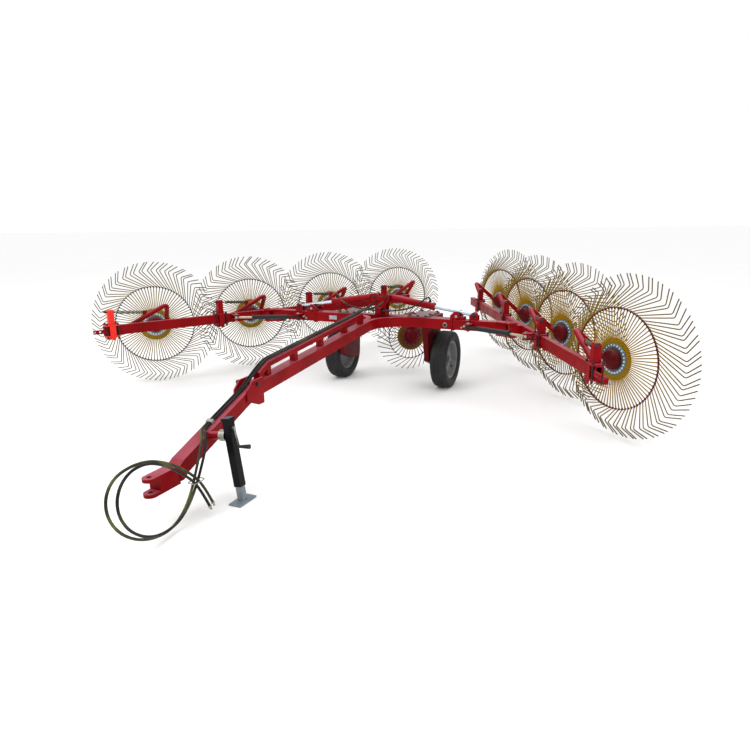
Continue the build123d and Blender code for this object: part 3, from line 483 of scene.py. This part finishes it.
for nm, x0, route in (("hose_a", -22.0, FREE_A), ("hose_b", 2.0, FREE_B)):
    start = clip_face(x0)
    pts = [start, start + FWDV * 0.085] + [P(q[0], q[1], q[2] + DATUM) for q in route]
    o = nurbs("free_" + nm, pts, HOSE_D / 2, HOSE_OLIVE_SHEEN if nm == "hose_a" else HOSE)
    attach(o, "chassis")
    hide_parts(nm)
    round(spline_len(pts), 4)
for nm in ("hose_a_fitting", "hose_b_fitting", "hose_tie", "hose_clip"):
    set_mat(nm, DZINC)

# ------------------------------------------------------------- finger wheels
BETA, GAMMA = radians(28.27), radians(22.34)
UU = Vector((sin(BETA), -cos(BETA), 0))
NIN = Vector((-cos(BETA), -sin(BETA), 0))
WW = Vector((sin(BETA + GAMMA), -cos(BETA + GAMMA), 0))
WN = Vector((-cos(BETA + GAMMA), -sin(BETA + GAMMA), 0))
STATIONS = [(1, 3567.0, 710.5), (2, 2378.0, 717.0), (3, 1189.0, 724.0), (4, 0.0, 732.0)]


def ao(a, o, z):
    return P(768.0 + UU.x * a + NIN.x * o, 2026.0 + UU.y * a + NIN.y * o, z)


def wheel_matrix(c, x, z, side):
    y = z.cross(x)
    mm = Matrix((x, y, z)).transposed().to_4x4()
    mm.translation = c
    if side < 0:
        S = Matrix.Diagonal((-1, 1, 1, 1))
        mm = S @ mm @ S
    return mm


def arc_pts(p0, c, p1, r, n=4):
    """Rounds corner c between p0 and p1 with radius r."""
    p0, c, p1 = (np.asarray(q, float) for q in (p0, c, p1))
    a, b_ = p0 - c, p1 - c
    la, lb = np.linalg.norm(a), np.linalg.norm(b_)
    a, b_ = a / la, b_ / lb
    th = math.acos(max(-1, min(1, float(a @ b_)))) / 2
    d = min(r / tan(th), la * 0.45, lb * 0.45)
    s, e = c + a * d, c + b_ * d
    out = []
    for i in range(n + 1):
        q = i / n
        out.append(s * (1 - q) ** 2 + c * 2 * q * (1 - q) + e * q ** 2)
    return out


def pol(r, a, z):
    return np.array([r * cos(a), r * sin(a), z])


def tines(ms, n, wire, r_in, z_disc, disc_r, ring_r, kink_r, tip_r, ka, ta, dish, mat, dark_mat, seed, ring_z=0.0):
    rng = np.random.default_rng(seed)
    ze = lambda r: -dish * (r - ring_r) / (tip_r - ring_r)
    for i in range(n):
        # the tines are bent in pairs from one wire, so that each pair stands a little apart from the next
        pair = 0.009 if i % 2 else -0.009
        a = 2 * pi * (i + 0.5) / n + rng.normal(0, 0.0025)
        j1, j2 = rng.normal(0, 0.005) + pair, rng.normal(0, 0.008)
        pin = pol(r_in, a, z_disc)
        pd = pol(disc_r, a, z_disc)
        pr = pol(ring_r, a, ring_z)
        pk = pol(kink_r, a + ka + j1, ze(kink_r))
        pt = pol(tip_r - abs(rng.normal(0, 0.002)), a + ta + j1 + j2, ze(tip_r))
        pts = [pin, pd] + arc_pts(pd, pr, pk, 0.030, 4) + arc_pts(pr, pk, pt, 0.022, 5) + [pt]
        ms.tube(pts, wire, 6, mat)
        # wrap that ties the tine to the hoop
        d = pol(1.0, a, 0)
        ms.tube([pr - d * 0.010, pr - d * 0.003, pr + d * 0.003, pr + d * 0.010], 0.0, 6, dark_mat, radii=[0.0060, 0.0085, 0.0085, 0.0060])


def rake_mesh(hoop_mat_index, seed):
    ms = Mesh()
    # 0 tine, 1 hoop, 2 gold, 3 teal, 4 bright bolts, 5 hub cap in the darker red, painted shade
    zd = 0.015
    tines(ms, 80, 0.0050, 0.105, zd + 0.0035, 0.176, 0.42, 0.600, 0.692, radians(-20.5), radians(-13.5), 0.130, 0, 1, seed)
    # hoop: a flat band on edge
    ms.lathe([(0.4185, -0.0085), (0.4225, -0.0085), (0.4235, -0.006), (0.4235, 0.006), (0.4225, 0.0085), (0.4185, 0.0085)], 120, 1)
    # dished disc, ribbed by the tines that lie on it
    ms.lathe([(0.0, zd - 0.0032), (0.150, zd - 0.0032), (0.176, zd - 0.0012), (0.178, zd + 0.0005), (0.176, zd + 0.0022), (0.150, zd + 0.0012), (0.0, zd + 0.0012)], 96, 2, closed=False)
    # clamp ring with its bolts, toolbar side
    z0 = zd + 0.0035
    ms.lathe([(0.0, z0), (0.128, z0), (0.133, z0 + 0.003), (0.133, z0 + 0.006), (0.129, z0 + 0.0085), (0.088, z0 + 0.0085), (0.084, z0 + 0.006), (0.0, z0 + 0.006)], 72, 3, closed=False)
    for i in range(24):
        a = 2 * pi * i / 24
        ms.hexbolt(pol(0.113, a, z0 + 0.0085), (0, 0, 1), 0.0075, 0.0065, 4)
    # back plate and nuts
    zb = zd - 0.0032
    ms.lathe([(0.0, zb), (0.126, zb), (0.126, zb - 0.004), (0.120, zb - 0.0052), (0.0, zb - 0.0052)], 72, 3, closed=False)
    for i in range(24):
        a = 2 * pi * i / 24
        ms.hexbolt(pol(0.113, a, zb - 0.0052), (0, 0, -1), 0.0070, 0.0052, 4)
    ms.lathe([(0.0, zb - 0.005), (0.044, zb - 0.005), (0.044, zb - 0.009), (0.038, zb - 0.0118), (0.0, zb - 0.0118)], 40, 5, closed=False)
    # shaft into the bearing housing
    ms.rod((0, 0, 0), (0, 0, 1), 0.0198, z0, 0.070, 24, 4)
    return ms


cache = {}
for num, a, hz in STATIONS:
    for side, nm in ((1, "right"), (-1, "left")):
        ms = rake_mesh(1, 10 * num + (side > 0))
        # index 5, the hub cap, takes the darker copy of the red: painted shade
        mats = [TINE, HOOP_R, GOLD, TEAL, ZINC, SHADED_RED] if side > 0 else [TINE_L, HOOP_L, GOLD_L, TEAL_L, ZINC, SHADED_RED]
        mw = wheel_matrix(ao(a, 0, hz), WW, WN, side)
        ms.build(f"finger_wheel_{nm}_{num}", mats, f"rake_{nm}_{num}", mw, [f"rake_wheel_{nm}_{num}"], "finger_wheel", mirror_x=side < 0)

# kicker wheel
KANG = radians(42.0)
KN = Vector((sin(KANG), -cos(KANG), 0))
KW = Vector((-cos(KANG), -sin(KANG), 0))
ms = Mesh()
rng = np.random.default_rng(5)
zd = 0.015
for i in range(36):
    a = 2 * pi * (i + 0.5) / 36 + rng.normal(0, 0.004)
    pin, pd, pr = pol(0.105, a, zd + 0.003), pol(0.176, a, zd + 0.003), pol(0.280, a, 0.0)
    pt = pol(0.429, a + radians(-19) + rng.normal(0, 0.01), -0.038)
    pts = [pin, pd] + arc_pts(pd, pr, pt, 0.03, 4) + [pt]
    ms.tube(pts, 0.0048, 6, 0)
    d = pol(1.0, a, 0)
    ms.tube([pr - d * 0.010, pr - d * 0.003, pr + d * 0.003, pr + d * 0.010], 0.0, 6, 1, radii=[0.0060, 0.0085, 0.0085, 0.0060])
ms.lathe([(0.2785, -0.0085), (0.2825, -0.0085), (0.2835, -0.006), (0.2835, 0.006), (0.2825, 0.0085), (0.2785, 0.0085)], 96, 1)
ms.lathe([(0.0, zd - 0.0032), (0.150, zd - 0.0032), (0.176, zd - 0.0012), (0.178, zd + 0.0005), (0.176, zd + 0.0022), (0.150, zd + 0.0012), (0.0, zd + 0.0012)], 96, 2, closed=False)
z0 = zd + 0.0035
ms.lathe([(0.0, z0), (0.128, z0), (0.133, z0 + 0.003), (0.133, z0 + 0.006), (0.129, z0 + 0.0085), (0.088, z0 + 0.0085), (0.084, z0 + 0.006), (0.0, z0 + 0.006)], 72, 5, closed=False)
for i in range(12):
    a = 2 * pi * i / 12
    ms.hexbolt(pol(0.113, a, z0 + 0.0085), (0, 0, 1), 0.0085, 0.0065, 6)
zb = zd - 0.0032
ms.lathe([(0.0, zb), (0.126, zb), (0.126, zb - 0.004), (0.120, zb - 0.0052), (0.0, zb - 0.0052)], 72, 5, closed=False)
for i in range(12):
    a = 2 * pi * i / 12
    ms.hexbolt(pol(0.113, a, zb - 0.0052), (0, 0, -1), 0.0085, 0.0052, 6)
ms.lathe([(0.0, zb - 0.005), (0.044, zb - 0.005), (0.044, zb - 0.009), (0.038, zb - 0.0118), (0.0, zb - 0.0118)], 40, 5, closed=False)
ms.rod((0, 0, 0), (0, 0, 1), 0.0198, z0, 0.070, 24, 4)
# the kicker's clamp ring, back plate and hub cap take the darker copy of the red: painted shade
ms.build("kicker_finger_wheel", [KTINE, HOOP_L, GOLD, TEAL, ZINC, SHADED_RED, DARKBOLT], "kicker", wheel_matrix(P(0, 580, 452), KW, KN, 1), ["kicker_wheel"], "finger_wheel")

# ------------------------------------------------------------------ CAD looks
RED_NODES = ["drawbar_front", "drawbar_hinge", "frame_rails", "truss_chord", "cross_tube", "drawbar_clevis",
             "wing_beam_right", "wing_beam_left", "toolbar_right", "toolbar_left", "carrier_arms_right", "carrier_arms_left",
             "lift_barrel_right", "lift_barrel_left"]
# the second material slot of these nodes is the darker copy of the red: painted shade on those faces
for n_ in RED_NODES:
    set_mat(n_, RED, SHADED_RED, BLACK)
# axle legs and kicker arm take the darker copy of the red all over: painted shade (the centre tower is set back to
# plain red next)
for n_ in ("centre_tower", "axle_leg_right", "axle_leg_left", "kicker_arm"):
    set_mat(n_, SHADED_RED)
set_mat("centre_tower", RED)
set_mat("leg_top_plates", GREYPL)
set_mat("fold_hinges", RED, DZINC)
set_mat("spring_posts_right", RED)
# the front left post's faces get the lighter copy of the red through post_rule below: painted sunlight
set_mat("spring_posts_left", RED, SUNLIT_RED)
for n_ in ("lift_rod_right", "lift_rod_left"):
    set_mat(n_, CHROME, RED)
for n_ in ("angle_rod_right", "angle_rod_left"):
    set_mat(n_, YZINC)
for n_ in ("angle_barrel_right", "angle_barrel_left", "clamp_bolts_right", "clamp_bolts_left"):
    set_mat(n_, BLACK)
set_mat("jack_housing", JACKB, DZINC)
set_mat("jack_crank", BLACK, DZINC)
set_mat("jack_mount", BLACK, RED)
set_mat("jack_leg", JACKG)
for n_ in ("held_hoses", "barrel_hose_right", "barrel_hose_left"):
    set_mat(n_, HOSE)
for n_ in ("rim_right", "rim_left"):
    set_mat(n_, RIMM)
for n_ in ("tyre_right", "tyre_left"):
    set_mat(n_, TYRE)


def faces(node, rule):
    """Gives each face of a carried-over node the material number that its centre asks for."""
    o = NODES[node]
    mw = o.matrix_world
    for pl in o.data.polygons:
        k = rule(mw @ pl.center, pl.normal)
        if k is not None:
            pl.material_index = k


def mirror_in(p, s):
    return Vector((p.x * s, p.y, p.z))


W4 = P(768.0, 2026.0, 0)


def along(p):
    """Place of a point beside the right arm: along it, inboard of the wheel line, height (mm, travel frame)."""
    d = p - W4
    return d.dot(UU) * 1000, d.dot(NIN) * 1000, (p.z - W4.z) * 1000


for side, nm in ((1, "right"), (-1, "left")):
    hubs = [ao(a, 0, hz) for _, a, hz in STATIONS]

    # faces round each wheel hub on the carrier arms take the darker copy of the red: painted shade on the hub housings
    def hub_rule(p, n_, hubs=hubs, side=side):
        p = mirror_in(p, side)
        for h in hubs:
            d = p - h
            t_ = d.dot(WN)
            if 0.02 < t_ < 0.10 and (d - WN * t_).length < 0.088:
                return 1
    faces(f"carrier_arms_{nm}", hub_rule)

    # the toolbar's end lengths take the darker copy of the red and the floors of their open pockets take black:
    # painted shade on the ends and inside the tube mouths
    def bar_rule(p, n_, side=side):
        a_, o_, z_ = along(mirror_in(p, side))
        if abs(o_ - 430) < 21 and 716 < z_ < 808 and (a_ < 272 or a_ > 4070):
            return 2 if abs(o_ - 430) < 18 and 4078 > a_ > 264 else 1
    faces(f"toolbar_{nm}", bar_rule)

    def rod_rule(p, n_, side=side):
        p = mirror_in(p, side)
        return 1 if p.x > 1.032 - 0.062 else 0
    faces(f"lift_rod_{nm}", rod_rule)

    # faces of the front left post (past 4000 mm along the arm) take the lighter copy of the red: painted sunlight on
    # that post
    def post_rule(p, n_, side=side):
        a_, o_, z_ = along(mirror_in(p, side))
        return 1 if a_ > 4000 else 0
    if side < 0:
        faces("spring_posts_left", post_rule)
faces("fold_hinges", lambda p, n_: 1 if (abs(p.x) - 0.855) ** 2 + (p.z - 0.854) ** 2 < 0.0146 ** 2 else 0)
faces("jack_crank", lambda p, n_: 0 if p.x > 0.300 else 1)
faces("jack_mount", lambda p, n_: 1)
JSW, JSX = P(120.0, -3350.0, 458.0), Vector((cos(radians(7.9)), 0, sin(radians(7.9))))
faces("jack_housing", lambda p, n_: 1 if (p - JSW).dot(JSX) < 0.0885 else 0)
faces("drawbar_hinge", lambda p, n_: 2 if abs(p.x) > 0.0625 else 0)
for n_, o in NODES.items():
    if o.hide_render:
        continue
    bevelled(o, 0.003 if not n_.startswith(("hose", "held", "barrel_hose", "clamp")) else 0.0005, 2, 38)

# --------------------------------------------------------------------- tyres
for side, nm in ((1, "right"), (-1, "left")):
    ms = Mesh()
    # outside profile with four shallow grooves round the tread, from one bead to the other
    R = 0.315
    half = [(0.208, 0.070), (0.230, 0.083), (0.252, 0.0895), (0.272, 0.0895), (0.288, 0.0865), (0.300, 0.080),
            (0.308, 0.070), (0.3125, 0.058), (0.3145, 0.046), (0.3145, 0.0425), (0.3105, 0.041), (0.3105, 0.038), (0.3148, 0.0365),
            (0.3150, 0.018), (0.3105, 0.0165), (0.3105, 0.0135), (0.3150, 0.012)]
    prof = half + [(r_, -z_) for r_, z_ in reversed(half)]
    # inner return inside the rim so that the shell is closed
    prof += [(0.204, -0.060), (0.204, 0.060)]
    ms.lathe(prof, 144, 0, (0, 0, 0), (0, 0, 1))
    # shoulder blocks
    for i in range(72):
        a = 2 * pi * i / 72
        e, tdir = pol(1.0, a, 0), np.array([-sin(a), cos(a), 0])
        for s_ in (1, -1):
            ms.boxp(e * 0.3015, (tdir, -0.0042, 0.0042), (e, -0.012, 0.0035), (np.array([0, 0, 1.0]), 0.0555 * s_, 0.0795 * s_), 0)
    o = np.array([0.640, 0, 0])
    mw = Matrix.Rotation(pi / 2, 4, "Y")
    mw.translation = P(640.0, 0, 327.0)
    if side < 0:
        S = Matrix.Diagonal((-1, 1, 1, 1))
        mw = S @ mw @ S
    ms.build(f"tyre_tread_{nm}", [TYRE], f"road_wheel_{nm}", mw, [f"tyre_{nm}"], "tyre", mirror_x=False)
    # valve, wheel bolts and hub cap
    ms = Mesh()
    for i in range(5):
        a = 2 * pi * i / 5 + 0.3
        ms.hexbolt(pol(0.072, a, 0.010), (0, 0, 1), 0.012, 0.014, 0)
    ms.rod(pol(0.176, 0.9, 0.000), pol(-0.35, 0.9, 1.0), 0.006, 0.0, 0.040, 12, 1)
    ms.rod((0, 0, 0), (0, 0, 1), 0.034, 0.040, 0.050, 28, 2, chamfer=0.004)
    ms.build(f"wheel_bolts_{nm}", [DZINC, BLACK, RIMM], f"road_wheel_{nm}", mw, (), "rim", mirror_x=False)

# -------------------------------------------------------------------- springs
PIV_Z = 712.0 - 25.0
for side, nm in ((1, "right"), (-1, "left")):
    ms = Mesh()
    for num, a, hz in STATIONS:
        p0, p1 = ao(a + 590, 353.0, PIV_Z), ao(a - 30, 353.0, hz + 260)
        q = p0 + (p1 - p0) * 0.60 + Vector((0, 0, 0.050))
        s0 = ao(a + 590, 435.0, 812.0 + 138)
        d = (q - s0)
        L = d.length
        d = d / L
        x = d.cross(Vector((0, 0, 1))).normalized()
        y = d.cross(x)
        t0, t1 = 0.075, L - 0.028
        turns = 30
        pts = []
        pts += [np.array(s0 + d * 0.036), np.array(s0 + d * 0.055)]
        for i in range(turns * 10 + 1):
            f_ = i / (turns * 10)
            ang = 2 * pi * turns * f_
            rr = 0.0138 if 0.02 < f_ < 0.98 else 0.0138 * min(f_, 1 - f_) / 0.02
            c = s0 + d * (t0 + (t1 - t0) * f_)
            pts.append(np.array(c + x * cos(ang) * rr + y * sin(ang) * rr))
        pts += [np.array(q - d * 0.016), np.array(q - d * 0.004)]
        ms.tube(pts, 0.0030, 5, 0)
        # adjusting bolt through the post, and its nut in front
        ms.rod(s0, d, 0.006, -0.075, 0.06, 12, 1)
        ms.hexbolt(s0 - d * 0.046, -d, 0.011, 0.014, 1)
        ms.hexbolt(s0 + d * 0.040, d, 0.010, 0.010, 1)
    v_mirror = side < 0
    ms.build(f"coil_springs_{nm}", [SPRING, DARKBOLT], f"arm_{nm}", None, [f"tension_springs_{nm}"], "spring", mirror_x=v_mirror)

# ------------------------------------------------------- bolts and fittings
for side, nm in ((1, "right"), (-1, "left")):
    ms = Mesh()
    for x_, y_ in ((333, -308), (420, -308), (507, -308), (333, -160), (507, -160), (333, 72), (507, 72)):
        ms.hexbolt(P(x_, y_, 840), (0, 0, 1), 0.014, 0.011, 0)
    ms.hexbolt(P(70, -347, 1030), (0, -1, 0), 0.013, 0.012, 0)
    if side > 0:
        ms.rod(P(736, -345, 770), (0, -1, 0), 0.025, 0.0, 0.008, 28, 1, chamfer=0.003)
        ms.hexbolt(P(736, -353, 770), (0, -1, 0), 0.013, 0.010, 0)
    ms.build(f"chassis_bolts_{nm}", [DARKBOLT, TEAL_L], "chassis", None, (), "red_paint", mirror_x=side < 0)
    ms = Mesh()
    ms.hexbolt(P(1032, -328, 880), (0, -1, 0), 0.015, 0.013, 0)
    ms.hexbolt(P(1000, -405, 805), (0, 0, 1), 0.014, 0.012, 1)
    ms.hexbolt(P(1000, -405, 737), (0, 0, -1), 0.014, 0.012, 1)
    ms.rod(P(948, -345, 772), (0, -1, 0), 0.014, 0.0, 0.016, 6, 1)
    ms.rod(P(948, -361, 772), (0, -1, 0), 0.009, 0.0, 0.020, 16, 1)
    ms.rod(P(918, -345, 756), (0, -1, 0), 0.011, 0.0, 0.022, 6, 1)
    ms.build(f"wing_bolts_{nm}", [DARKBOLT, DZINC], f"wing_{nm}", None, (), "red_paint", mirror_x=side < 0)
    ms = Mesh()
    ms.hexbolt(P(1640, -700, 801), (0, 0, 1), 0.014, 0.012, 0)
    ms.hexbolt(P(1640, -700, 741), (0, 0, -1), 0.014, 0.012, 0)
    ms.build(f"arm_pin_bolts_{nm}", [DZINC], f"arm_{nm}", None, (), "red_paint", mirror_x=side < 0)
ms = Mesh()
ms.boxp(P(-581, -345, 776), (np.array([1.0, 0, 0]), -0.048, 0.048), (np.array([0, 1.0, 0]), -0.0018, 0.0), (np.array([0, 0, 1.0]), -0.022, 0.022), 0)
ms.build("blank_plate", [BLANK], "chassis", None, (), "zinc")

# ------------------------------------------------------------ floor and light
ms = Mesh()
me = bpy.data.meshes.new("floor")
me.from_pydata([(-400, -300, -0.0005), (400, -300, -0.0005), (400, 900, -0.0005), (-400, 900, -0.0005)], [], [(0, 1, 2, 3)])
floor = bpy.data.objects.new("floor", me)
bpy.context.scene.collection.objects.link(floor)
FL, t, b = nt("floor_pale")
n = noise(t, 0.6, 2.0)
r = ramp(t, n.outputs["Fac"], [(0.3, (0.80, 0.80, 0.80)), (0.7, (0.815, 0.815, 0.815))])
t.links.new(r.outputs["Color"], b.inputs["Base Color"])
b.inputs["Roughness"].default_value = 0.9
b.inputs["Specular IOR Level"].default_value = 0.1
me.materials.append(FL)

w = bpy.data.worlds.new("studio")
bpy.context.scene.world = w
w.use_nodes = True
bg = w.node_tree.nodes["Background"]
bg.inputs["Color"].default_value = (1.0, 1.0, 1.0, 1.0)
bg.inputs["Strength"].default_value = 1.0


def area(name, loc, target, size, power, col=(1, 1, 1)):
    ld = bpy.data.lights.new(name, "AREA")
    ld.shape = "RECTANGLE"
    ld.size, ld.size_y = size
    ld.energy = power
    ld.color = col
    lo = bpy.data.objects.new(name, ld)
    bpy.context.scene.collection.objects.link(lo)
    lo.location = loc
    lo.rotation_euler = (Vector(target) - Vector(loc)).to_track_quat("-Z", "Y").to_euler()
    return lo


area("key", (-4.5, -7.0, 7.5), (0, 0, 0.5), (5, 5), 420)
area("fill", (6.5, -3.0, 5.0), (0.5, 0, 0.5), (5, 4), 130)
area("top", (0.0, 1.5, 8.0), (0, 0.5, 0.5), (8, 8), 100)
sky = bpy.data.lights.new("overhead", "SUN")
sky.energy = 0.62
sky.angle = radians(60.0)
so = bpy.data.objects.new("overhead", sky)
bpy.context.scene.collection.objects.link(so)
so.location = (0, 0, 20)
bpy.context.scene.view_settings.view_transform = "Standard"
